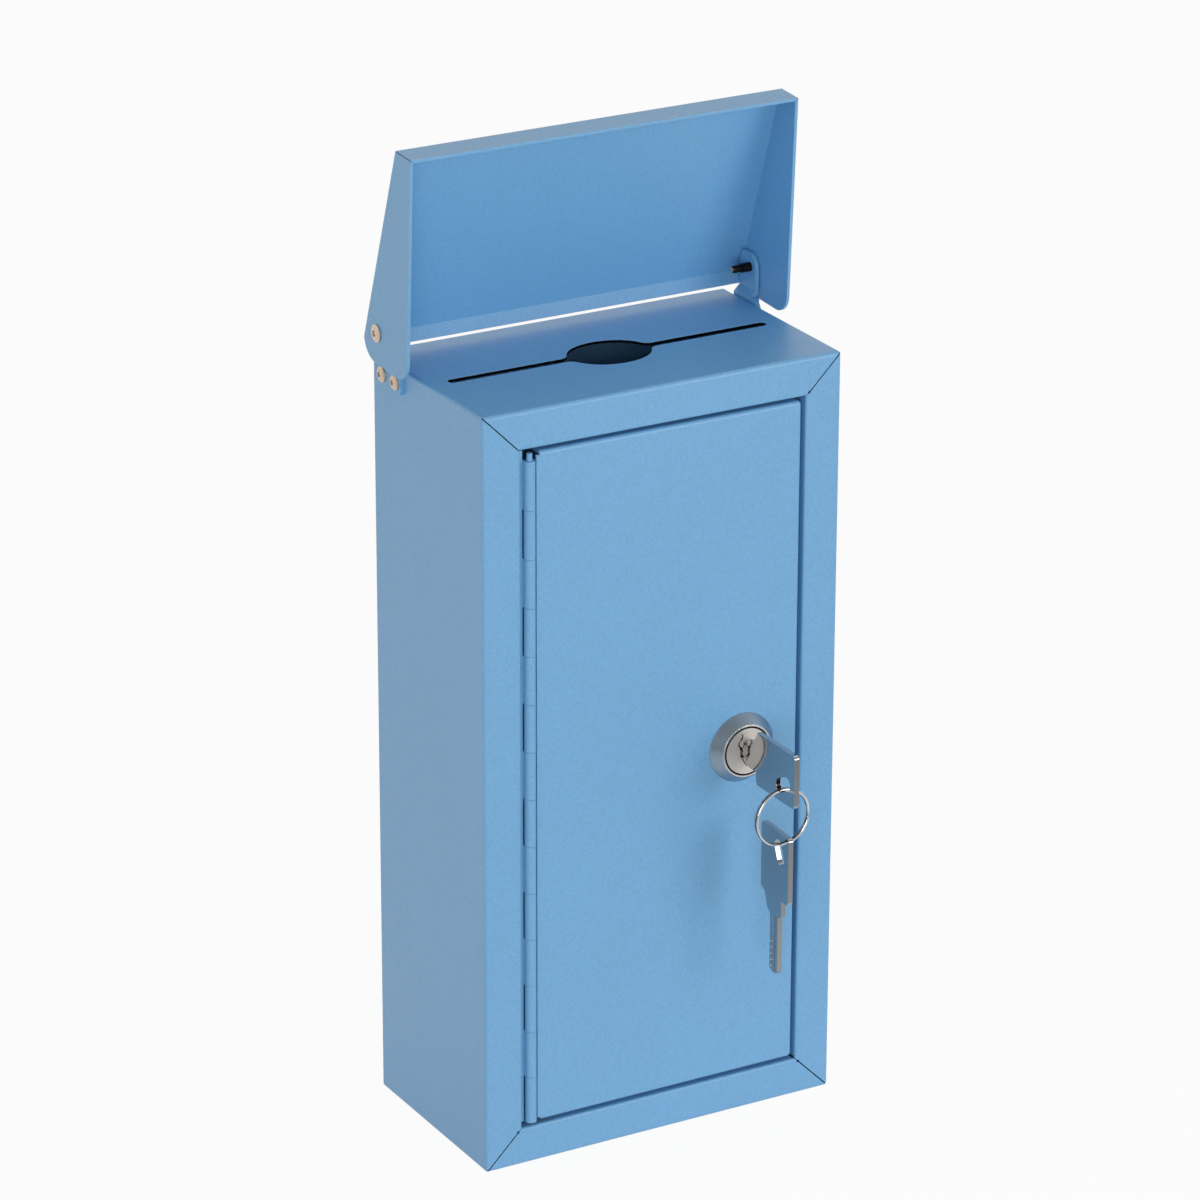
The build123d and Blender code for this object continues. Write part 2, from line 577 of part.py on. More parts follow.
with BuildPart() as lock_plug:
    with BuildSketch(lock_section()):
        with BuildLine():
            face_back = PLUG_FACE_T - CONE_PROUD
            plug_end = HOUSING_DEPTH + STOP_GAP
            Polyline((0, -CONE_PROUD), (PLUG_FACE_R, -CONE_PROUD), (PLUG_FACE_R, face_back),
                     (PLUG_R, face_back), (PLUG_R, plug_end), (0, plug_end), close=True)
        make_face()
    revolve(axis=LOCK_AXIS)
    with BuildSketch(behind(HOUSING_DEPTH)):
        Rectangle(TAIL_SQUARE, TAIL_SQUARE)
    extrude(amount=HOUSING_DEPTH - TAIL_END)
    with BuildSketch(behind(-CONE_PROUD)):
        with Locations((0, KEY_OFFSET_Z)):
            Rectangle(KEY_T + 2 * KEYWAY_GAP, 2 * (BLADE_HALF_W + KEYWAY_GAP))
    extrude(amount=-CONE_PROUD - KEYWAY_DEPTH, mode=Mode.SUBTRACT)
    for wafer in range(WAFERS):
        with BuildSketch(behind(WAFER_FIRST + wafer * WAFER_PITCH - WAFER_SLOT_GAP)):
            Rectangle(WAFER_W + 2 * WAFER_SLOT_GAP, 2 * PLUG_R)
        extrude(amount=-WAFER_T - 2 * WAFER_SLOT_GAP, mode=Mode.SUBTRACT)
    with BuildSketch(behind(TAIL_END)):
        Circle(SCREW_R)
    extrude(amount=TAIL_END - SCREW_END, mode=Mode.SUBTRACT)
write(lock_plug.part, "lock_plug")

with BuildPart() as lock_wafers:
    for wafer in range(WAFERS):
        with BuildSketch(behind(WAFER_FIRST + wafer * WAFER_PITCH)):
            Rectangle(WAFER_W, WAFER_H)
            with Locations((0, KEY_OFFSET_Z)):
                Rectangle(*WAFER_WINDOW, mode=Mode.SUBTRACT)
        extrude(amount=-WAFER_T)
write(lock_wafers.part, "lock_wafers")

with BuildPart() as cam_stop_washer:
    with BuildSketch(behind(STOP_WASHER_Y - FRONT_Y)):
        Circle(STOP_WASHER_R)
        Rectangle(TAIL_SQUARE, TAIL_SQUARE, mode=Mode.SUBTRACT)
    extrude(amount=-STOP_WASHER_T)
    with BuildSketch(behind(CAM_Y - FRONT_Y)):
        with BuildLine():
            outer = CenterArc((0, 0), STOP_LUG_OUT_R, 90 - STOP_HALF_LUG, 2 * STOP_HALF_LUG)
            inner = CenterArc((0, 0), STOP_LUG_IN_R, 90 - STOP_HALF_LUG, 2 * STOP_HALF_LUG)
            Line(outer @ 0, inner @ 0)
            Line(outer @ 1, inner @ 1)
        make_face()
    extrude(amount=STOP_WASHER_T + STOP_DEPTH - STOP_GAP / 2)
write(cam_stop_washer.part, "cam_stop_washer")

# The cam is stored pointing up; a quarter turn clockwise puts its tip behind the right-hand lip.
with BuildPart() as lock_cam:
    with BuildSketch(Plane.YZ.offset(LOCK_X)):
        with BuildLine():
            crank_slant = hypot(CAM_CRANK_OUT - CAM_CRANK_IN, CAM_Y - CAM_TIP_Y)
            crank_shift = CAM_T * (crank_slant - (CAM_Y - CAM_TIP_Y)) / (CAM_CRANK_OUT - CAM_CRANK_IN)
            Polyline((CAM_Y, LOCK_Z), (CAM_Y, LOCK_Z + CAM_CRANK_IN),
                     (CAM_TIP_Y, LOCK_Z + CAM_CRANK_OUT), (CAM_TIP_Y, LOCK_Z + CAM_REACH),
                     (CAM_TIP_Y + CAM_T, LOCK_Z + CAM_REACH),
                     (CAM_TIP_Y + CAM_T, LOCK_Z + CAM_CRANK_OUT + crank_shift),
                     (CAM_Y + CAM_T, LOCK_Z + CAM_CRANK_IN + crank_shift),
                     (CAM_Y + CAM_T, LOCK_Z), close=True)
        make_face()
    extrude(amount=CAM_WIDTH / 2, both=True)
    fillet(lock_cam.edges().filter_by(Axis.Y).group_by(Axis.Z)[-1], CAM_WIDTH / 4)
    with BuildSketch(behind(CAM_Y - FRONT_Y)):
        Circle(CAM_HUB_R)
    extrude(amount=-CAM_T)
    with BuildSketch(behind(CAM_Y - FRONT_Y)):
        Rectangle(TAIL_SQUARE, TAIL_SQUARE)
    extrude(amount=-CAM_T, mode=Mode.SUBTRACT)
write(lock_cam.part, "lock_cam")

with BuildPart() as cam_spring_washer:
    with BuildSketch(behind(SPRING_WASHER_Y - FRONT_Y)):
        Circle(SPRING_WASHER_R)
        Circle(SCREW_R, mode=Mode.SUBTRACT)
    extrude(amount=-SPRING_WASHER_T)
write(cam_spring_washer.part, "cam_spring_washer")

with BuildPart() as cam_screw:
    with BuildSketch(behind(SCREW_END)):
        Circle(SCREW_R)
    extrude(amount=FRONT_Y + SCREW_END - SCREW_HEAD_Y)
    with BuildSketch(behind(SCREW_HEAD_Y - FRONT_Y)):
        RegularPolygon(SCREW_HEAD_FLATS / 2, 6, major_radius=False)
    extrude(amount=-SCREW_HEAD_T)
write(cam_screw.part, "cam_screw")


# ---------------------------------------------------------------- keys and ring
def flat_key(plane):
    """A flat key on a plane whose local x is u and local y is v, half its thickness to each side."""
    with BuildPart() as key:
        with BuildSketch(plane) as outline:
            with BuildLine():
                Polyline((0, -BOW_HALF_W), (BOW_LENGTH, -BOW_HALF_W), (BOW_LENGTH, -STOP_V),
                         (NECK_END, -STOP_V), (BLADE_START, -BLADE_HALF_W),
                         (KEY_LENGTH - BLADE_HALF_W / 2, -BLADE_HALF_W), (KEY_LENGTH, -BLADE_HALF_W / 2),
                         (KEY_LENGTH, BLADE_HALF_W / 2), (KEY_LENGTH - BLADE_HALF_W / 2, BLADE_HALF_W),
                         (BLADE_START, BLADE_HALF_W), (NECK_END, STOP_V),
                         (BOW_LENGTH + 1, NECK_V), (BOW_LENGTH - 0.5, BOW_HALF_W), (0, BOW_HALF_W),
                         close=True)
            make_face()
            for corner in ((0, -BOW_HALF_W), (0, BOW_HALF_W), (BOW_LENGTH, -BOW_HALF_W)):
                fillet(corner_nearest(outline, corner), BOW_CORNER_R)
            with Locations(Location((KEY_SLOT_U, KEY_SLOT_V, 0), (0, 0, -KEY_SLOT_TILT))):
                SlotOverall(KEY_SLOT_L, KEY_SLOT_W, mode=Mode.SUBTRACT)
        extrude(amount=KEY_T / 2, both=True)
        for face in (1, -1):
            with BuildSketch(plane.offset(face * KEY_T / 2)):
                with Locations((BLADE_START, GROOVE_V)):
                    Rectangle(KEY_LENGTH - BLADE_START, GROOVE_W, align=(Align.MIN, Align.CENTER))
            extrude(amount=-face * GROOVE_DEPTH, mode=Mode.SUBTRACT)
            with BuildSketch(plane.offset(face * KEY_T / 2)):
                for dimple in range(DIMPLES):
                    with Locations((KEY_LENGTH - 2 - dimple * DIMPLE_PITCH, DIMPLE_V)):
                        Circle(DIMPLE_R)
            extrude(amount=-face * DIMPLE_DEPTH, mode=Mode.SUBTRACT)
    return key.part


inserted_plane = Plane(origin=(LOCK_X, KEY_END_Y, KEY_Z), x_dir=(0, 1, 0), z_dir=(1, 0, 0))
spare_plane = Plane(origin=(SPARE_X, SPARE_Y, SPARE_TOP_Z), x_dir=(0, 0, -1), z_dir=SPARE_NORMAL)
write(flat_key(inserted_plane), "inserted_key")
write(flat_key(spare_plane), "spare_key")

# Two turns of wire side by side, lying against each other.
with BuildPart() as split_ring:
    with BuildSketch(Plane(origin=(LOCK_X, RING_Y, RING_Z), x_dir=(1, 0, 0), z_dir=(0, 0, 1))):
        for turn in (1, -1):
            with Locations((RING_R, turn * WIRE_PITCH / 2)):
                Circle(WIRE_R)
    revolve(axis=Axis((LOCK_X, RING_Y, RING_Z), (0, 1, 0)))
write(split_ring.part, "split_ring")
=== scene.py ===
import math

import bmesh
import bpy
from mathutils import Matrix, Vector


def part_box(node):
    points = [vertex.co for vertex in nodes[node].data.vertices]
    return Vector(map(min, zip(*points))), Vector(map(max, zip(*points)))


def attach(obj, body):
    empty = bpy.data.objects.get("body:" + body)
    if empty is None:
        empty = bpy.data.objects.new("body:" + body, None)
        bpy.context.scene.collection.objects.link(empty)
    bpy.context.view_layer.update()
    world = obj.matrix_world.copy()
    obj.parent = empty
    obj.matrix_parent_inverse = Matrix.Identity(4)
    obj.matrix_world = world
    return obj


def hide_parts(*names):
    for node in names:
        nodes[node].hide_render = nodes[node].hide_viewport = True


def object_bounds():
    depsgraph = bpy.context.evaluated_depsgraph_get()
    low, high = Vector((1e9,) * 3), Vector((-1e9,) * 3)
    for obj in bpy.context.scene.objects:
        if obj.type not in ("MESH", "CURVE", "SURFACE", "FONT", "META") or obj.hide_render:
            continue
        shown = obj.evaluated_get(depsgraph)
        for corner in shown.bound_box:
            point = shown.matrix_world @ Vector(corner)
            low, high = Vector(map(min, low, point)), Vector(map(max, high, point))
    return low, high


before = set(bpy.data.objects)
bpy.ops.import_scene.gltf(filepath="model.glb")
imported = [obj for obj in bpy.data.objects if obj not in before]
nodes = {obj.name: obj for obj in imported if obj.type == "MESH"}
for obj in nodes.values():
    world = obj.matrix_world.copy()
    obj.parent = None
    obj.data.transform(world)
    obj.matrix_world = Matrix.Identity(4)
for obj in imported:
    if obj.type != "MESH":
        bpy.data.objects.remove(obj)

# %% [markdown]
# # A key drop box in powder-coated sheet steel
# The real object is a small wall box, folded from 1.2 mm steel and sprayed with blue powder
# coat. Keys are dropped through the top, under a hinged hood, and taken out through a door
# with a piano hinge and a cam lock. The construction comes in finished as CAD pieces, so this
# lesson is about finishes, one piece of wound wire, light and the camera.
# Everything is in metres, +Z is up and the front looks towards -Y.

cad_low, cad_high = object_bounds()
MM = 0.001
print(len(nodes), "CAD pieces, overall mm:", [round(v / MM, 1) for v in cad_high - cad_low])

# %% [markdown]
# ## Colours and nodes
# Paint colours are written as sRGB hex, the way a colour card gives them, while Blender's
# sockets want linear light, so one function turns one into the other. A second small function
# adds a node, sets its properties and fills or links its inputs; that keeps each finish short
# enough to read as a recipe.

# %% A colour helper and a node helper
def linear(hex_colour):
    """An sRGB hex colour as the linear RGBA that sockets take."""
    channels = [int(hex_colour[i:i + 2], 16) / 255 for i in (1, 3, 5)]
    return [c / 12.92 if c <= 0.04045 else ((c + 0.055) / 1.055) ** 2.4 for c in channels] + [1.0]


def add_node(tree, kind, inputs=None, **settings):
    """Add a node, set its properties, and fill each input with a value or a link."""
    node = tree.nodes.new(kind)
    for name, value in settings.items():
        setattr(node, name, value)
    for name, value in (inputs or {}).items():
        if isinstance(value, bpy.types.NodeSocket):
            tree.links.new(value, node.inputs[name])
        else:
            node.inputs[name].default_value = value
    return node


def new_finish(name):
    """An empty material with an output, and the place on the object in metres."""
    finish = bpy.data.materials.new(name)
    finish.use_nodes = True
    tree = finish.node_tree
    tree.nodes.clear()
    output = add_node(tree, "ShaderNodeOutputMaterial")
    place = add_node(tree, "ShaderNodeTexCoord").outputs["Object"]
    return finish, tree, output, place


print("a mid grey of #808080 is linear", round(linear("#808080")[0], 3))

# %% [markdown]
# ## The steps that every finish shares
# A finish is mostly sums on places and numbers, a noise or two, and the same few ways of using
# them: a tone that varies, a ramp, a blend of two colours, a bump, a rounded edge. Each is one
# short function that returns a socket, so a recipe can name what it makes.

# %% Sums
def maths(tree, operation, first, second=0.0):
    """A maths node on values or sockets; its comparisons give 1 or 0."""
    return add_node(tree, "ShaderNodeMath", {0: first, 1: second}, operation=operation).outputs["Value"]


def size_of(tree, value):
    """A number without its sign."""
    return maths(tree, "ABSOLUTE", value)


def all_of(tree, *tests):
    """1 where every test is 1."""
    share = tests[0]
    for test in tests[1:]:
        share = maths(tree, "MULTIPLY", share, test)
    return share


def vector_maths(tree, operation, first, second=(0, 0, 0), result="Vector"):
    """A vector maths node on vectors or sockets."""
    node = add_node(tree, "ShaderNodeVectorMath", {0: first, 1: second}, operation=operation)
    return node.outputs[result]


def scaled(tree, vector, factor):
    """A vector or a colour times a number."""
    return add_node(tree, "ShaderNodeVectorMath", {0: vector, "Scale": factor},
                    operation="SCALE").outputs["Vector"]


def parts_of(tree, vector):
    """The X, Y and Z of a vector, by name."""
    return add_node(tree, "ShaderNodeSeparateXYZ", {"Vector": vector}).outputs


# %% Noise, ramps and blends
def noise(tree, place, scale, detail, roughness=0.5):
    """A grey noise, which mostly swings between 0.3 and 0.7."""
    return add_node(tree, "ShaderNodeTexNoise", {"Vector": place, "Scale": scale, "Detail": detail,
                                                 "Roughness": roughness}).outputs["Fac"]


def vary(tree, grey, low, high):
    """A noise's usual swing, stretched to run from low to high."""
    return add_node(tree, "ShaderNodeMapRange", {"Value": grey, "From Min": 0.3, "From Max": 0.7,
                                                 "To Min": low, "To Max": high}).outputs["Result"]


def ramp(tree, value, start, end, first=0.0, last=1.0):
    """The first number up to start, the last from end, and a straight ramp between."""
    return add_node(tree, "ShaderNodeMapRange", {"Value": value, "From Min": start, "From Max": end,
                                                 "To Min": first, "To Max": last}).outputs["Result"]


def blend_colour(tree, share, first, second):
    """A colour between two, each a hex value or a socket."""
    ends = [linear(c) if isinstance(c, str) else c for c in (first, second)]
    return add_node(tree, "ShaderNodeMix", {"Factor": share, "A": ends[0], "B": ends[1]},
                    data_type="RGBA").outputs["Result"]


# %% Relief, edges and the end of a metal
def round_edges(tree, radius):
    """The surface's direction, turned smoothly over sharp edges."""
    return add_node(tree, "ShaderNodeBevel", {"Radius": radius}, samples=6).outputs["Normal"]


def bump(tree, height, strength, distance, under=None):
    """Relief from a grey height, laid over the surface or over another relief."""
    inputs = {"Height": height, "Strength": strength, "Distance": distance}
    if under is not None:
        inputs["Normal"] = under
    return add_node(tree, "ShaderNodeBump", inputs).outputs["Normal"]


def end_in_metal(tree, output, tint, roughness, relief=None):
    """Close a recipe with a metal, which keeps the default IOR."""
    inputs = {"Base Color": tint, "Metallic": 1.0, "Roughness": roughness}
    if relief is not None:
        inputs["Normal"] = relief
    metal = add_node(tree, "ShaderNodeBsdfPrincipled", inputs)
    tree.links.new(metal.outputs["BSDF"], output.inputs["Surface"])


print("shared steps are ready")

# %% [markdown]
# ## Powder coat
# Polyester powder is sprayed on dry and melted in an oven. It flows into a skin about 80
# microns thick with two scales of relief: a soft orange peel a couple of millimetres across,
# and a fine grit from the texturing agent. Both go into the relief and a little into the gloss
# or the colour, because grains catch the light one by one. The melt also rounds every sheared
# edge, and the edges are painted a shade lighter as a highlight. The grit is really about 0.2 mm
# across, too fine to show, and is drawn at 0.7 mm. The walls of the narrow drop slot are painted
# black as shade, and the mitre seams are drawn as black lines.

# %% Painted shade in the drop slot, and black mitre lines
shell_low, shell_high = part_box("body_shell")
shell_middle = (shell_low + shell_high) / 2
SHEET = 1.2 * MM
SEAM_HALF = 0.22 * MM
RELIEF_INSET = 13.9 * MM          # from the side of the shell to the bend relief where a mitre starts
SLOT_Y = -1.0 * MM
SLOT_REACH = (68.6 * MM, 14.0 * MM)      # half its length, and past the oval to the front and back
SLOT_LIP = 0.12 * MM              # the painted slot shade starts this far below the top
SLOT_FOOT = 1.3 * MM              # just below the underside of the top sheet


def slot_shade_and_seam_lines(tree, place):
    """1 on the walls of the drop slot and along the mitres of the front flanges, 0 elsewhere."""
    centred = vector_maths(tree, "SUBTRACT", place, (0, SLOT_Y, shell_middle.z))
    away = parts_of(tree, vector_maths(tree, "ABSOLUTE", centred))
    plain = parts_of(tree, place)
    # painted shade: the walls of the drop slot are drawn black
    slot = all_of(tree, maths(tree, "GREATER_THAN", plain["Z"], shell_high.z - SLOT_FOOT),
                  maths(tree, "LESS_THAN", plain["Z"], shell_high.z - SLOT_LIP),
                  maths(tree, "LESS_THAN", away["X"], SLOT_REACH[0]),
                  maths(tree, "LESS_THAN", away["Y"], SLOT_REACH[1]))
    from_mitre = maths(tree, "SUBTRACT", maths(tree, "SUBTRACT", away["X"], away["Z"]),
                       shell_high.x - shell_middle.z)
    near_mitre = maths(tree, "LESS_THAN", size_of(tree, from_mitre), SEAM_HALF * math.sqrt(2))
    seam = all_of(tree, near_mitre, maths(tree, "LESS_THAN", plain["Y"], shell_low.y + SHEET),
                  maths(tree, "GREATER_THAN", away["X"], shell_high.x - RELIEF_INSET))
    return maths(tree, "MAXIMUM", slot, seam)


print("mitres start", round((shell_high.x - RELIEF_INSET) / MM, 1), "mm out from the middle")

# %% Powder coat recipe
SKY_BLUE = "#69A7D5"
EDGE_HIGHLIGHT_BLUE = "#93C4E6"
SLOT_SHADE_AND_SEAM_LINE = "#060B14"
ORANGE_PEEL = 2.4 * MM
ORANGE_PEEL_DEPTH = 0.12 * MM
GRIT = 0.7 * MM
GRIT_DEPTH = 0.14 * MM
CLOUD = 60 * MM
MELTED_EDGE = 0.35 * MM
EDGE_HIGHLIGHT_BENDS = (0.995, 0.80)   # cosines of the turn at which the painted edge highlight starts and is full
EDGE_HIGHLIGHT_SHARE = 0.55


def powder_coat(name, colour, highlight_colour, has_slot_shade_and_seams=False):
    """Textured polyester powder, with painted slot shade and black mitre lines where they are asked for.
    """
    finish, tree, output, place = new_finish(name)
    orange_peel = noise(tree, place, 1 / ORANGE_PEEL, 1.0)
    grit = noise(tree, place, 1 / GRIT, 2.0, 0.6)
    cloud = noise(tree, place, 1 / CLOUD, 2.0)
    melted_edge = round_edges(tree, MELTED_EDGE)
    relief = bump(tree, orange_peel, 0.12, ORANGE_PEEL_DEPTH, melted_edge)
    grain = bump(tree, grit, 0.6, GRIT_DEPTH, relief)
    flat = add_node(tree, "ShaderNodeNewGeometry").outputs["Normal"]
    bend = vector_maths(tree, "DOT_PRODUCT", melted_edge, flat, "Value")
    # painted highlight: sharp edges are blended towards a lighter blue
    edge_highlight = ramp(tree, bend, *EDGE_HIGHLIGHT_BENDS, 0.0, EDGE_HIGHLIGHT_SHARE)
    speckle = vary(tree, grit, 0.90, 1.10)
    drift = vary(tree, cloud, 0.985, 1.015)
    paint = blend_colour(tree, edge_highlight, colour, highlight_colour)
    toned = scaled(tree, paint, maths(tree, "MULTIPLY", speckle, drift))
    skin = add_node(tree, "ShaderNodeBsdfPrincipled", {
        "Base Color": toned, "Roughness": vary(tree, orange_peel, 0.44, 0.52), "IOR": 1.5,
        "Specular IOR Level": 1.0, "Coat Weight": 0.35, "Coat Roughness": 0.38, "Normal": grain})
    surface = skin.outputs["BSDF"]
    if has_slot_shade_and_seams:
        # painted shade on the slot walls, and black lines along the mitres
        dark = add_node(tree, "ShaderNodeBsdfDiffuse", {"Color": linear(SLOT_SHADE_AND_SEAM_LINE)}).outputs["BSDF"]
        slot_shade_and_seams = slot_shade_and_seam_lines(tree, place)
        surface = add_node(tree, "ShaderNodeMixShader", {0: slot_shade_and_seams, 1: surface, 2: dark}).outputs["Shader"]
    tree.links.new(surface, output.inputs["Surface"])
    return finish


sky_blue_powder_coat = powder_coat("sky_blue_powder_coat", SKY_BLUE, EDGE_HIGHLIGHT_BLUE)
shell_powder_coat = powder_coat("sky_blue_powder_coat_on_shell", SKY_BLUE, EDGE_HIGHLIGHT_BLUE, True)
print("made", sky_blue_powder_coat.name, "and", shell_powder_coat.name)

# %% [markdown]
# ## Plain plated metals
# Plating copies the surface under it. The keys were polished before they were nickel plated,
# so they mirror what is round them. The lock's nut, washers, cam and screw are zinc plated and
# duller, and so are the rivets, which have yellowed. The lock's wafers are stamped brass. One
# recipe serves them all, with the tint, the roughness and the scratches as its ingredients. In
# the key that lives in the lock, the wall of the ring's hole is painted dark brown as shade.

# %% Plated metal recipe
KEY_NICKEL = "#B6B8BA"
RIVET_ZINC = "#D0BDAB"
HOLE_WALL_SHADE = "#2B211B"
SMEAR = 4 * MM
WORN_EDGE = 0.15 * MM
HAZE = 0.03
EVERY_WAY = (1, 1, 1)
FRONT_TO_BACK = (1, 0.15, 1)      # a noise stretched along Y draws scratches that run that way
HOLE_SHADE_REACH = 6.0 * MM             # from the middle of the hole
HOLE_SHADE_HALF_DEPTH = 0.9 * MM        # less than half the key's thickness, so its faces stay unshaded


def plated_metal(name, tint, roughness, scratch_spacing, scratch_depth, stretch=EVERY_WAY,
                 shaded_hole=None):
    """Plate with fine scratches and smears, and painted shade on the wall of a hole where one is given.
    """
    finish, tree, output, place = new_finish(name)
    along = add_node(tree, "ShaderNodeMapping", {"Vector": place, "Scale": stretch}).outputs["Vector"]
    scratches = noise(tree, along, 1 / scratch_spacing, 3.0)
    relief = bump(tree, scratches, 0.5, scratch_depth, round_edges(tree, WORN_EDGE))
    smears = noise(tree, place, 1 / SMEAR, 2.0)
    haze = vary(tree, smears, roughness - HAZE, roughness + HAZE)
    colour = linear(tint)
    # painted shade: the wall of the ring's hole is tinted dark brown
    if shaded_hole:
        offset = vector_maths(tree, "SUBTRACT", place, shaded_hole)
        away = vector_maths(tree, "LENGTH", offset, result="Value")
        depth = size_of(tree, parts_of(tree, offset)["X"])
        wall = all_of(tree, maths(tree, "LESS_THAN", away, HOLE_SHADE_REACH),
                      maths(tree, "LESS_THAN", depth, HOLE_SHADE_HALF_DEPTH))
        colour = blend_colour(tree, wall, tint, HOLE_WALL_SHADE)
    end_in_metal(tree, output, colour, haze, relief)
    return finish


HOLE_FROM_BOW_END = 8.1 * MM
HOLE_BELOW_MIDDLE = 3.5 * MM
key_low, key_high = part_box("inserted_key")
key_middle = (key_low + key_high) / 2
key_hole = Vector((key_middle.x, key_low.y + HOLE_FROM_BOW_END, key_middle.z - HOLE_BELOW_MIDDLE))
key_polish = {"roughness": 0.10, "scratch_spacing": 0.4 * MM, "scratch_depth": 0.002 * MM,
              "stretch": FRONT_TO_BACK}
key_nickel = plated_metal("key_nickel_plate", KEY_NICKEL, **key_polish)
key_nickel_with_hole_shade = plated_metal("key_nickel_plate_with_painted_hole_shade", KEY_NICKEL, **key_polish,
                               shaded_hole=key_hole)
zinc_plate = plated_metal("zinc_plated_steel", "#B5B6B8", roughness=0.32,
                          scratch_spacing=0.5 * MM, scratch_depth=0.006 * MM)
rivet_zinc = plated_metal("zinc_plated_rivet", RIVET_ZINC, roughness=0.46,
                          scratch_spacing=0.4 * MM, scratch_depth=0.006 * MM)
stamped_brass = plated_metal("stamped_brass", "#C9A75A", roughness=0.30,
                             scratch_spacing=0.3 * MM, scratch_depth=0.005 * MM)
print("metals:", [m.name for m in bpy.data.materials if "powder" not in m.name])

# %% [markdown]
# ## A lock face with a history
# The lock's collar is a cone of satin nickel, tinted blue-grey as a painted reflection of the blue
# door around it, with one bright line where its front edge was turned. Inside that line is a narrow
# groove, painted dark brown as shade, and then the plug, whose own edge is worn bright. Its face is
# dull and pitted, and round the keyway a dark, ragged mouth is painted as shade. All of this is laid
# out by the distance from the lock's axis, so the recipe measures that first, in millimetres.

# %% Distance from an axis along Y
def round_axis(tree, place, centre):
    """Distance from an axis along Y, the offsets from a centre on it, and their vector, in mm."""
    in_mm = scaled(tree, vector_maths(tree, "SUBTRACT", place, centre), 1 / MM)
    offset = parts_of(tree, in_mm)
    flat = add_node(tree, "ShaderNodeCombineXYZ", {"X": offset["X"], "Z": offset["Z"]}).outputs["Vector"]
    return vector_maths(tree, "LENGTH", flat, result="Value"), offset, in_mm


plug_low, plug_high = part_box("lock_plug")
lock_axis = (plug_low + plug_high) / 2
lock_axis.y = plug_low.y
print("lock axis at x, z mm:", round(lock_axis.x / MM, 2), round(lock_axis.z / MM, 2))

# %% Collar recipe
COLLAR_RIM = 10.5                 # this and the next three are in mm, from the lock's axis or across
COLLAR_BORE = 9.88
RIM_BLUR = 0.1
BORE_BLUR = 0.08
TURNED_EDGE = 0.2 * MM
WORN_BRIGHT = "#FFFDFA"


def satin_collar(name, cone_reflection_tint, rim_tint, groove_shade_tint):
    """A satin cone tinted with a painted reflection, then a bright turned rim, then a groove of painted
    shade, from the outside in.
    """
    finish, tree, output, place = new_finish(name)
    radius, _, in_mm = round_axis(tree, place, lock_axis)
    polish = noise(tree, in_mm, 1.6, 3.0)
    cone = scaled(tree, linear(cone_reflection_tint)[:3], vary(tree, polish, 0.98, 1.02))
    face = blend_colour(tree, ramp(tree, radius, COLLAR_RIM, COLLAR_RIM + RIM_BLUR), rim_tint, cone)
    tint = blend_colour(tree, ramp(tree, radius, COLLAR_BORE, COLLAR_BORE + BORE_BLUR), groove_shade_tint, face)
    end_in_metal(tree, output, tint, vary(tree, polish, 0.25, 0.33), round_edges(tree, TURNED_EDGE))
    return finish


# 97A9B8 is a painted reflection of the blue door, #33241C painted shade in the groove
collar_nickel = satin_collar("satin_nickel_collar", "#97A9B8", WORN_BRIGHT, "#33241C")
print("made", collar_nickel.name)

# %% Plug recipe
PLUG_RIM = 8.85                   # like all the sizes of the wear, in mm from the lock's axis
KEYWAY_SHADE_STROKES = (                  # middle x, sway, half width, lowest z, highest z
    (-3.0, 0.8, 0.30, -1.8, 7.4),
    (-2.2, -0.8, 0.26, -2.4, 4.0))
STROKE_WOBBLE = 3.0
SHADE_LINE_START = (-2.9, -1.6)
SHADE_LINE_END_X = -0.3
SHADE_LINE_SLOPE = 1.7
SHADE_LINE_HALF = 0.35
FACE_DEPTH = (0.25, 0.45)         # from here to here behind the front, metal gives way to painted shade
PIT_DEPTH = 0.02 * MM


def stroke(tree, offset, wave, middle_x, sway, half_width, low, high):
    """1 along an upright line that sways with a wave, between two heights; all in millimetres."""
    line = maths(tree, "ADD", maths(tree, "MULTIPLY", wave, sway), middle_x)
    away = size_of(tree, maths(tree, "SUBTRACT", offset["X"], line))
    return all_of(tree, maths(tree, "LESS_THAN", away, half_width),
                  maths(tree, "GREATER_THAN", offset["Z"], low),
                  maths(tree, "LESS_THAN", offset["Z"], high))


def slanting_shade_line(tree, offset):
    """1 along a straight line of painted shade that falls to the right."""
    run = maths(tree, "SUBTRACT", offset["X"], SHADE_LINE_START[0])
    rise = maths(tree, "SUBTRACT", offset["Z"], SHADE_LINE_START[1])
    away = size_of(tree, maths(tree, "ADD", rise, maths(tree, "MULTIPLY", run, SHADE_LINE_SLOPE)))
    return all_of(tree, maths(tree, "LESS_THAN", away, SHADE_LINE_HALF),
                  maths(tree, "GREATER_THAN", offset["X"], SHADE_LINE_START[0]),
                  maths(tree, "LESS_THAN", offset["X"], SHADE_LINE_END_X))


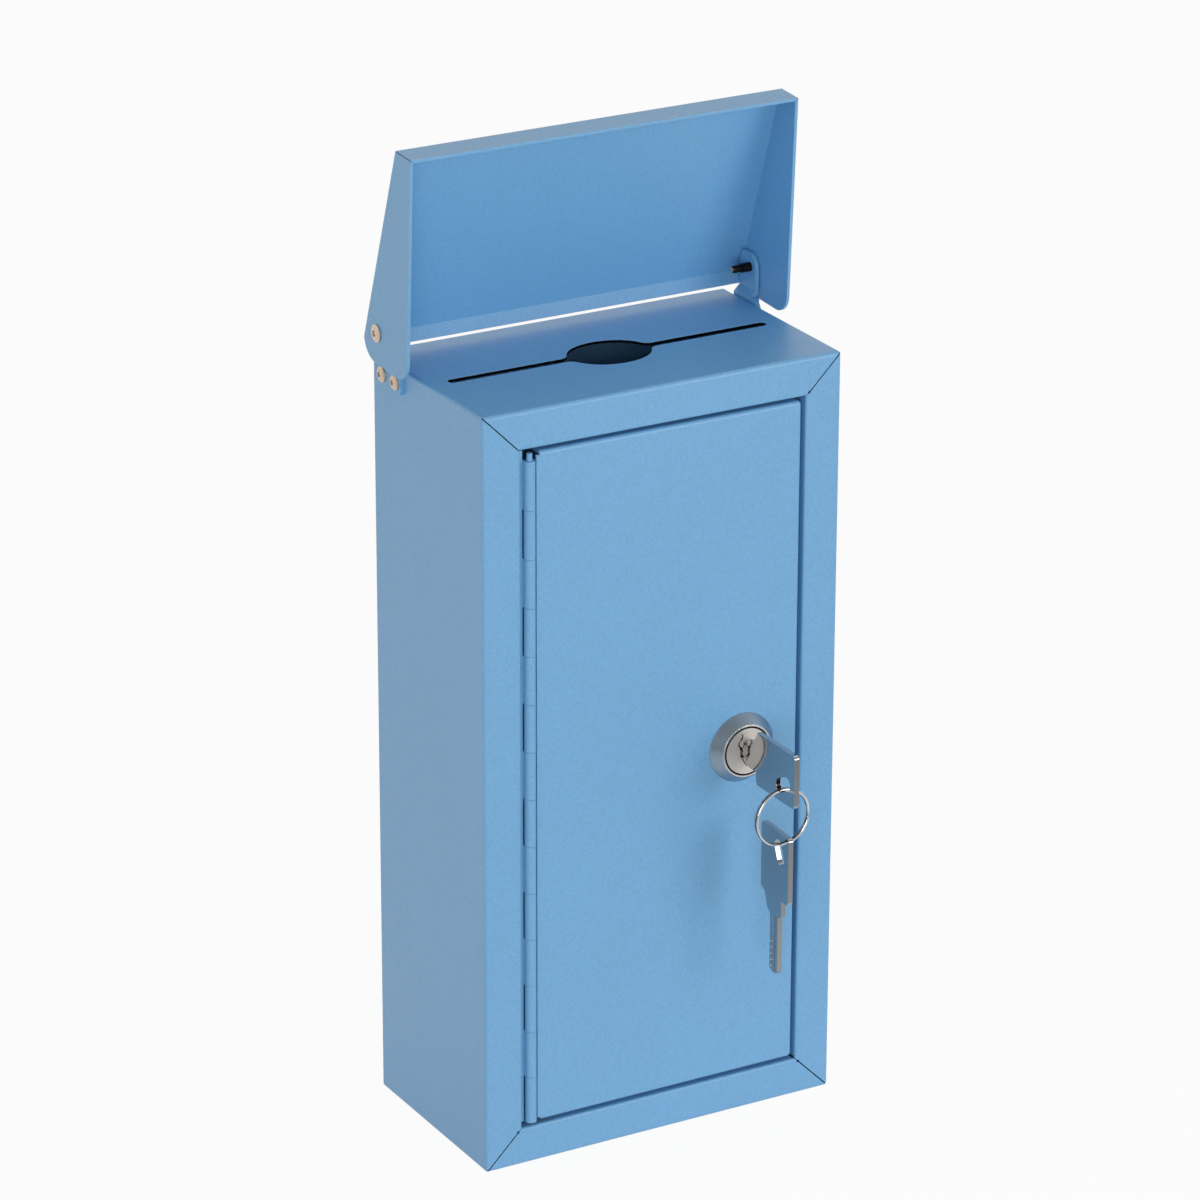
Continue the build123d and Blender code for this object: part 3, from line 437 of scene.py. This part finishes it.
def worn_plug(name, face_tint, rim_tint, painted_dark_tint):
    """A pitted face with a bright rim, painted shade round the keyway, and painted shade behind the face.
    """
    finish, tree, output, place = new_finish(name)
    radius, offset, in_mm = round_axis(tree, place, lock_axis)
    pits = noise(tree, in_mm, 2.2, 4.0, 0.65)
    unsteady = maths(tree, "MULTIPLY", noise(tree, in_mm, 0.8, 1.0), STROKE_WOBBLE)
    wave = maths(tree, "SINE", maths(tree, "ADD", offset["Z"], unsteady))
    # swaying strokes of painted shade cross beside the keyway, and a slanting line of it runs on below
    # them
    keyway_shade = slanting_shade_line(tree, offset)
    for shade_stroke in KEYWAY_SHADE_STROKES:
        keyway_shade = maths(tree, "MAXIMUM", keyway_shade, stroke(tree, offset, wave, *shade_stroke))
    face = scaled(tree, linear(face_tint)[:3], vary(tree, pits, 0.86, 1.1))
    edged = blend_colour(tree, ramp(tree, radius, PLUG_RIM, PLUG_RIM + RIM_BLUR), face, rim_tint)
    keyway_shaded = blend_colour(tree, keyway_shade, edged, painted_dark_tint)
    tint = blend_colour(tree, ramp(tree, offset["Y"], *FACE_DEPTH), keyway_shaded, painted_dark_tint)
    end_in_metal(tree, output, tint, vary(tree, pits, 0.40, 0.50), bump(tree, pits, 0.5, PIT_DEPTH))
    return finish


# 33261F is painted shade round the keyway and behind the face
plug_nickel = worn_plug("worn_nickel_plug", "#F6F1EB", WORN_BRIGHT, "#33261F")
print("made", plug_nickel.name)

# %% [markdown]
# ## Ring wire
# The split ring's wire is bright along its crown. In the crevice where its two turns touch, the
# nickel is painted black as shade, and a little along its inner and outer flanks it is painted dark
# as a reflection. So the tint follows the distance from the crevice and from the wire's own centre line.

# %% Ring wire recipe
CREVICE_REACH = 0.44              # in mm to each side of the touching line
FLANK = (0.68, 0.95)              # in wire radii from the centre line
FLANK_PAINTED_DARK = 0.9

ring_low, ring_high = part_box("split_ring")
ring_centre = (ring_low + ring_high) / 2
wire_radius = 0.5 * MM
lane = (ring_high.y - ring_low.y) / 2 - wire_radius
coil_radius = (ring_high.x - ring_low.x) / 2 - wire_radius


def wire_with_painted_dark(name, crown_tint, painted_dark_tint):
    """Bright wire, with painted shade in the crevice between the turns and a painted dark reflection
    along the flanks.
    """
    finish, tree, output, place = new_finish(name)
    radius, offset, in_mm = round_axis(tree, place, ring_centre)
    side = size_of(tree, maths(tree, "SUBTRACT", radius, coil_radius / MM))
    flank_start, flank_end = [share * (wire_radius / MM) for share in FLANK]
    # painted reflection: the flanks of the wire are darkened
    flank = maths(tree, "MULTIPLY", ramp(tree, side, flank_start, flank_end), FLANK_PAINTED_DARK)
    # painted shade in the crevice where the two turns touch
    crevice_shade = ramp(tree, size_of(tree, offset["Y"]), CREVICE_REACH, CREVICE_REACH / 2)
    wire_mottle = noise(tree, in_mm, 1.2, 3.0)
    painted_dark = maths(tree, "MULTIPLY", maths(tree, "MAXIMUM", flank, crevice_shade), vary(tree, wire_mottle, 0.75, 1.0))
    tint = blend_colour(tree, painted_dark, crown_tint, painted_dark_tint)
    end_in_metal(tree, output, tint, vary(tree, wire_mottle, 0.12, 0.20))
    return finish


ring_nickel = wire_with_painted_dark("nickel_wire_with_painted_shade", "#FFFFFF", "#1C1A19")
print("wire of", wire_radius * 2 / MM, "mm on a circle of radius", round(coil_radius / MM, 2), "mm")

# %% [markdown]
# ## Blind pivot rivets
# The rivets that the hood turns on have a bright head outside, but their tails inside were
# swelled by a mandrel and are dark. The head and the tail are one piece of metal, so the finish
# changes with the distance from the middle of the box. At the very end, where the mandrel
# snapped, a bright disc is painted as a highlight.

# %% Pivot rivet recipe
EAR_THICKNESS = 1.6 * MM
TAIL_LENGTH = 4.5 * MM
TIP_HIGHLIGHT_RADIUS = 1.05 * MM
OIL_GRIME = 0.6 * MM
OIL_GRIME_DEPTH = 0.02 * MM
ear_outer_x = max(abs(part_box("left_lid_bracket")[0].x), abs(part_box("right_lid_bracket")[1].x))
tail_start_x = ear_outer_x - EAR_THICKNESS
pivot_low, pivot_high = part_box("left_pivot_rivet")
pivot_axis = (pivot_low + pivot_high) / 2


def two_tone_rivet(name, head_tint, tail_tint):
    """A bright head, a dark tail inside the ears, and a painted highlight on the tip at its end."""
    finish, tree, output, place = new_finish(name)
    from_middle = size_of(tree, parts_of(tree, place)["X"])
    inside = maths(tree, "LESS_THAN", from_middle, tail_start_x)
    before_tip = maths(tree, "GREATER_THAN", from_middle, tail_start_x - TAIL_LENGTH)
    across = vector_maths(tree, "MULTIPLY", vector_maths(tree, "SUBTRACT", place, pivot_axis), (0, 1, 1))
    radius = vector_maths(tree, "LENGTH", across, result="Value")
    # painted highlight: a bright disc in the middle of the tail's end
    dark_rim = maths(tree, "GREATER_THAN", radius, TIP_HIGHLIGHT_RADIUS)
    is_tail = maths(tree, "MULTIPLY", inside, maths(tree, "MAXIMUM", before_tip, dark_rim))
    grime = noise(tree, place, 1 / OIL_GRIME, 3.0)
    end_in_metal(tree, output, blend_colour(tree, is_tail, head_tint, tail_tint),
                 ramp(tree, is_tail, 0.0, 1.0, 0.38, 0.30), bump(tree, grime, 0.4, OIL_GRIME_DEPTH))
    return finish


pivot_rivet_steel = two_tone_rivet("pivot_rivet_steel", RIVET_ZINC, "#352C27")
print("tails start inside x =", round(tail_start_x / MM, 2), "mm")

# %% [markdown]
# ## Dressing the CAD pieces
# Each CAD piece keeps its shape and takes its finish by replacing its one material. The whole
# folded box, hinge pin included, was sprayed after assembly; the lock and rivets were not.

# %% Give every CAD piece its finish
pieces_of = {
    shell_powder_coat: ["body_shell"],
    sky_blue_powder_coat: ["back_panel", "frame_hinge_leaf", "door_hinge_leaf", "hinge_pin", "door_panel",
                           "left_lid_bracket", "right_lid_bracket", "lid_hood"],
    rivet_zinc: ["bracket_rivets"],
    pivot_rivet_steel: ["left_pivot_rivet", "right_pivot_rivet"],
    collar_nickel: ["lock_housing"],
    plug_nickel: ["lock_plug"],
    zinc_plate: ["lock_nut", "cam_stop_washer", "lock_cam", "cam_spring_washer", "cam_screw"],
    stamped_brass: ["lock_wafers"],
    key_nickel_with_hole_shade: ["inserted_key"],
    key_nickel: ["spare_key"],
    ring_nickel: ["split_ring"],
}
for finish, names in pieces_of.items():
    for name in names:
        piece = nodes[name]
        piece.data.materials.clear()
        piece.data.materials.append(finish)
print("dressed", sum(len(names) for names in pieces_of.values()), "of", len(nodes), "pieces")

# %% [markdown]
# ## The split ring
# A split ring is about two turns of hard wire wound against each other, crossing over once.
# The CAD ring is two closed loops, right for size and clearance; the crossing and the two cut
# ends are what make it read as wire, so the visible ring is wound here as a swept curve. A
# point is worked out every few degrees: the wire stays in one lane, changes lane in a short
# stretch, and ends almost two turns on, beside where it began.

# %% Wind the ring
END_ANGLE = math.radians(14)
TURNS = 1.93
STEPS = 190
LANE_CHANGE = (0.44, 0.56)        # from and to, as a share of the wire's length


def ring_point(fraction):
    """A point on the wire, from 0 at one end to 1 at the other."""
    angle = END_ANGLE + fraction * TURNS * 2 * math.pi
    across = min(max((fraction - LANE_CHANGE[0]) / (LANE_CHANGE[1] - LANE_CHANGE[0]), 0), 1)
    smooth = across * across * (3 - 2 * across)
    return ring_centre + Vector((coil_radius * math.cos(angle), lane * (1 - 2 * smooth),
                                 coil_radius * math.sin(angle)))


wire = bpy.data.curves.new("split_ring_coil", "CURVE")
wire.dimensions = "3D"
wire.bevel_depth = wire_radius
wire.bevel_resolution = 5
wire.use_fill_caps = True
path = wire.splines.new("POLY")
path.points.add(STEPS)
for step, point in enumerate(path.points):
    point.co = (*ring_point(step / STEPS), 1)
coil = bpy.data.objects.new("split_ring_coil", wire)
bpy.context.scene.collection.objects.link(coil)
coil.data.materials.append(ring_nickel)
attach(coil, "ring")
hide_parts("split_ring")
print("ring of", round(2 * (coil_radius + wire_radius) / MM, 1), "mm,", TURNS, "turns")

# %% [markdown]
# ## Floor, backdrop and light
# The box stands on white paper in a white studio, between two large softboxes in front of it,
# one to the right and a stronger one to the left. The world gives the even fill and the
# softboxes give the direction. Rays from the camera see plain white. Reflected rays see white
# too, so polished metal has something to mirror, but for them it dims towards the front, where
# a studio is dark behind the camera. Diffuse rays see a dimmer fill, so the paint keeps its
# colour.

# %% World light
PURE_WHITE = linear("#FFFFFF")
FILL_AT_HORIZON = 0.49
FILL_OVERHEAD = 0.43
DIM_BETWEEN_Y = (0.1, -0.5)       # for the world a direction's Y, for the floor a place's
DIM_WHITE = 0.25


def studio_white(tree, y, camera_ray):
    """White that dims towards the front for every ray but the camera's own."""
    return maths(tree, "MAXIMUM", ramp(tree, y, *DIM_BETWEEN_Y, 1.0, DIM_WHITE), camera_ray)


world = bpy.data.worlds.new("white_studio")
bpy.context.scene.world = world
world.use_nodes = True
sky = world.node_tree
sky.nodes.clear()
ray = add_node(sky, "ShaderNodeLightPath").outputs
sees_studio = maths(sky, "MAXIMUM", maths(sky, "MAXIMUM", ray["Is Camera Ray"], ray["Is Glossy Ray"]),
                    ray["Is Transmission Ray"])
compass = parts_of(sky, add_node(sky, "ShaderNodeTexCoord").outputs["Generated"])
fill = add_node(sky, "ShaderNodeBackground", {
    "Color": PURE_WHITE, "Strength": ramp(sky, compass["Z"], 0.0, 1.0, FILL_AT_HORIZON, FILL_OVERHEAD)})
studio = add_node(sky, "ShaderNodeBackground", {
    "Color": PURE_WHITE, "Strength": studio_white(sky, compass["Y"], ray["Is Camera Ray"])})
light_mix = add_node(sky, "ShaderNodeMixShader", {0: sees_studio, 1: fill.outputs["Background"],
                                                  2: studio.outputs["Background"]})
add_node(sky, "ShaderNodeOutputWorld", {"Surface": light_mix.outputs["Shader"]})
print("fill of", FILL_AT_HORIZON, "at the horizon and", FILL_OVERHEAD, "overhead")

# %% Floor
FLOOR_RADIUS = 6.0
FLOOR_GAP = 0.05 * MM
SELF_LIT_SHARE = 0.94


def paper_floor(name):
    """Matt white paper, which the camera and mirrors see as mostly self-lit studio white."""
    finish, tree, output, place = new_finish(name)
    mottle = noise(tree, place, 3.0, 2.0)
    matt = add_node(tree, "ShaderNodeBsdfDiffuse", {"Color": ramp(tree, mottle, 0.0, 1.0, 0.86, 0.88)})
    seen_by = add_node(tree, "ShaderNodeLightPath").outputs
    lit = add_node(tree, "ShaderNodeEmission", {
        "Color": PURE_WHITE,
        "Strength": studio_white(tree, parts_of(tree, place)["Y"], seen_by["Is Camera Ray"])})
    seen = maths(tree, "MAXIMUM", seen_by["Is Camera Ray"], seen_by["Is Glossy Ray"])
    paper = add_node(tree, "ShaderNodeMixShader", {0: maths(tree, "MULTIPLY", seen, SELF_LIT_SHARE),
                                                   1: matt.outputs["BSDF"], 2: lit.outputs["Emission"]})
    tree.links.new(paper.outputs["Shader"], output.inputs["Surface"])
    return finish


floor_mesh = bpy.data.meshes.new("floor")
disc = bmesh.new()
bmesh.ops.create_circle(disc, cap_ends=True, radius=FLOOR_RADIUS, segments=96)
disc.to_mesh(floor_mesh)
disc.free()
floor = bpy.data.objects.new("floor", floor_mesh)
floor.location.z = cad_low.z - FLOOR_GAP
bpy.context.scene.collection.objects.link(floor)
floor.data.materials.append(paper_floor("white_studio_floor"))
print("floor reaches", FLOOR_RADIUS, "m")


# %% Softboxes
def softbox(name, size, power, place, target):
    """A square area lamp at a place, aimed at a target."""
    lamp = bpy.data.lights.new(name, "AREA")
    lamp.shape = "SQUARE"
    lamp.size = size
    lamp.energy = power
    light = bpy.data.objects.new(name, lamp)
    light.location = place
    light.rotation_mode = "QUATERNION"
    light.rotation_quaternion = (Vector(target) - Vector(place)).to_track_quat("-Z", "Y")
    bpy.context.scene.collection.objects.link(light)


middle = (cad_low + cad_high) / 2
SOFTBOXES = {      # side in metres, power in watts, place
    "right_softbox": (1.2, 17.5, (1.25, -2.15, 0.75)),
    "left_softbox": (1.4, 24.0, (-1.2, -2.25, 0.45))}
for name, (size, power, place) in SOFTBOXES.items():
    softbox(name, size, power, place, middle)
    print(name, "stands", round((Vector(place) - middle).length, 2), "m away")

# %% [markdown]
# ## Camera
# A long lens, 166 mm on a full frame, stands about two metres off, to the left and above. The
# angles are kept as heading, tilt and a hair of roll, and the rotation is built from them in
# that order, so each can be changed alone.

# %% Camera
LENS = 166.16
FULL_FRAME = 36.0
CAMERA_PLACE = (-0.96761, -1.69256, 0.98123)
HEADING, TILT, ROLL = 29.6761, -21.7059, 0.1531
camera_data = bpy.data.cameras.new("camera")
camera_data.lens = LENS
camera_data.sensor_width = FULL_FRAME
camera = bpy.data.objects.new("camera", camera_data)
bpy.context.scene.collection.objects.link(camera)
camera.location = CAMERA_PLACE
camera.rotation_mode = "QUATERNION"
camera.rotation_quaternion = (Matrix.Rotation(math.radians(-HEADING), 3, "Z")
                              @ Matrix.Rotation(math.radians(90 + TILT), 3, "X")
                              @ Matrix.Rotation(math.radians(ROLL), 3, "Z")).to_quaternion()
bpy.context.scene.camera = camera
bpy.context.scene.view_settings.view_transform = "Standard"
print("camera looks along", [round(v, 4) for v in camera.rotation_quaternion @ Vector((0, 0, -1))])
